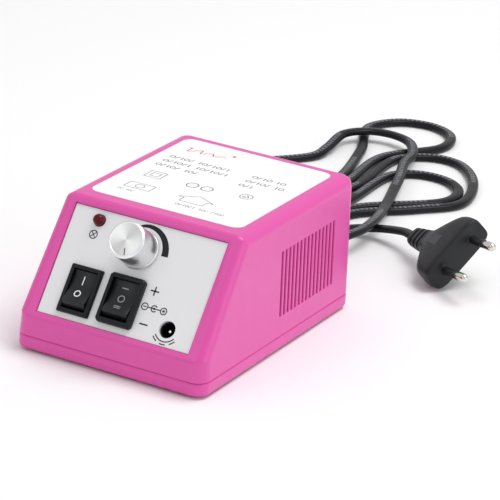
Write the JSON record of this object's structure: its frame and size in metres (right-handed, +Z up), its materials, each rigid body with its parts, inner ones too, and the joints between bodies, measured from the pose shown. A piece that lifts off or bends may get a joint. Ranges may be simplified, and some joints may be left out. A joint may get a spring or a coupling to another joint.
{
  "type": "electric nail drill power unit",
  "caption": "Desktop power and speed control unit for an electric nail drill: wedge-fronted case with dial, rocker switches, pilot lamp and output socket, on a mains lead with a two-pin plug.",
  "frame": {"origin": "on the standing surface, under the middle of the case", "axes": "+Z up; -Y towards the slanted front panel; +X towards the viewer's right when facing the panel"},
  "size_m": [0.1792, 0.3641, 0.0626],
  "materials": {
    "case_plastic": "satin hot-pink moulding",
    "panel_plate": "fine satin silver",
    "label_film": "smooth satin film",
    "black_plastic": "satin moulded",
    "black_rubber": "matte",
    "flex_rubber": "smooth satin sheath",
    "plated_steel": "bright zinc plate",
    "turned_aluminium": "bright turned",
    "nickel_pin": "nickel plate",
    "brass_terminal": "plain",
    "red_lens": "clear-coated dark red",
    "core_laminate": "varnished laminations",
    "winding": "varnished, taped",
    "board": "solder mask",
    "clear_glass": "clear",
    "wire_brown": "insulation",
    "wire_blue": "insulation",
    "wire_red": "insulation"
  },
  "bodies": {
    "housing": {"upper_shell": "case_plastic", "lower_shell": "case_plastic", "front_panel": "panel_plate", "top_label": "label_film", "power_switch_housing": "black_plastic", "polarity_switch_housing": "black_plastic", "power_terminal_in": "brass_terminal", "power_terminal_out": "brass_terminal", "potentiometer_body": "plated_steel", "pot_washer": "plated_steel", "pot_nut": "plated_steel", "lamp_lens": "red_lens", "lamp_lead_a": "plated_steel", "lamp_lead_b": "plated_steel", "output_socket_body": "black_plastic", "output_socket_pin": "nickel_pin", "plug_body": "flex_rubber", "plug_strain_relief": "flex_rubber", "plug_pin_a": "nickel_pin", "plug_pin_b": "nickel_pin", "strain_relief": "flex_rubber", "mains_cord": "flex_rubber", "transformer_core": "core_laminate", "transformer_winding": "winding", "transformer_bracket": "plated_steel", "transformer_screw_left": "plated_steel", "transformer_screw_right": "plated_steel", "circuit_board": "board", "board_screw_left": "plated_steel", "board_screw_right": "plated_steel", "smoothing_capacitor": "black_plastic", "bridge_rectifier": "black_plastic", "heat_sink": "turned_aluminium", "regulator": "black_plastic", "fuse": "clear_glass", "fuse_holder": "black_plastic", "mains_live_wire": "wire_brown", "mains_neutral_wire": "wire_blue", "fuse_to_switch_wire": "wire_brown", "secondary_wire": "wire_red", "polarity_terminal_low_a": "brass_terminal", "polarity_terminal_low_b": "brass_terminal", "polarity_terminal_mid_a": "brass_terminal", "polarity_terminal_mid_b": "brass_terminal", "polarity_terminal_high_a": "brass_terminal", "polarity_terminal_high_b": "brass_terminal", "foot_front_left": "black_rubber", "case_screw_front_left": "plated_steel", "foot_front_right": "black_rubber", "case_screw_front_right": "plated_steel", "foot_rear_left": "black_rubber", "case_screw_rear_left": "plated_steel", "foot_rear_right": "black_rubber", "case_screw_rear_right": "plated_steel"},
    "knob": {"speed_knob": "turned_aluminium", "pot_shaft": "turned_aluminium"},
    "power_rocker_body": {"power_rocker": "black_plastic"},
    "polarity_rocker_body": {"polarity_rocker": "black_plastic"}
  },
  "joints": [
    {"name": "speed_dial_turn", "type": "hinge", "parent": "housing", "child": "knob", "pos_m": [-0.0006, -0.04186, 0.04742], "axis": [0, 0.8191, -0.5736], "range_deg": [0, 300]},
    {"name": "power_switch_rock", "type": "hinge", "parent": "housing", "child": "power_rocker_body", "pos_m": [-0.0199, -0.05336, 0.02751], "axis": [1, 0, 0], "range_deg": [0, 24]},
    {"name": "polarity_switch_rock", "type": "hinge", "parent": "housing", "child": "polarity_rocker_body", "pos_m": [-0.0002, -0.05307, 0.02792], "axis": [1, 0, 0], "range_deg": [0, 24]}
  ]
}
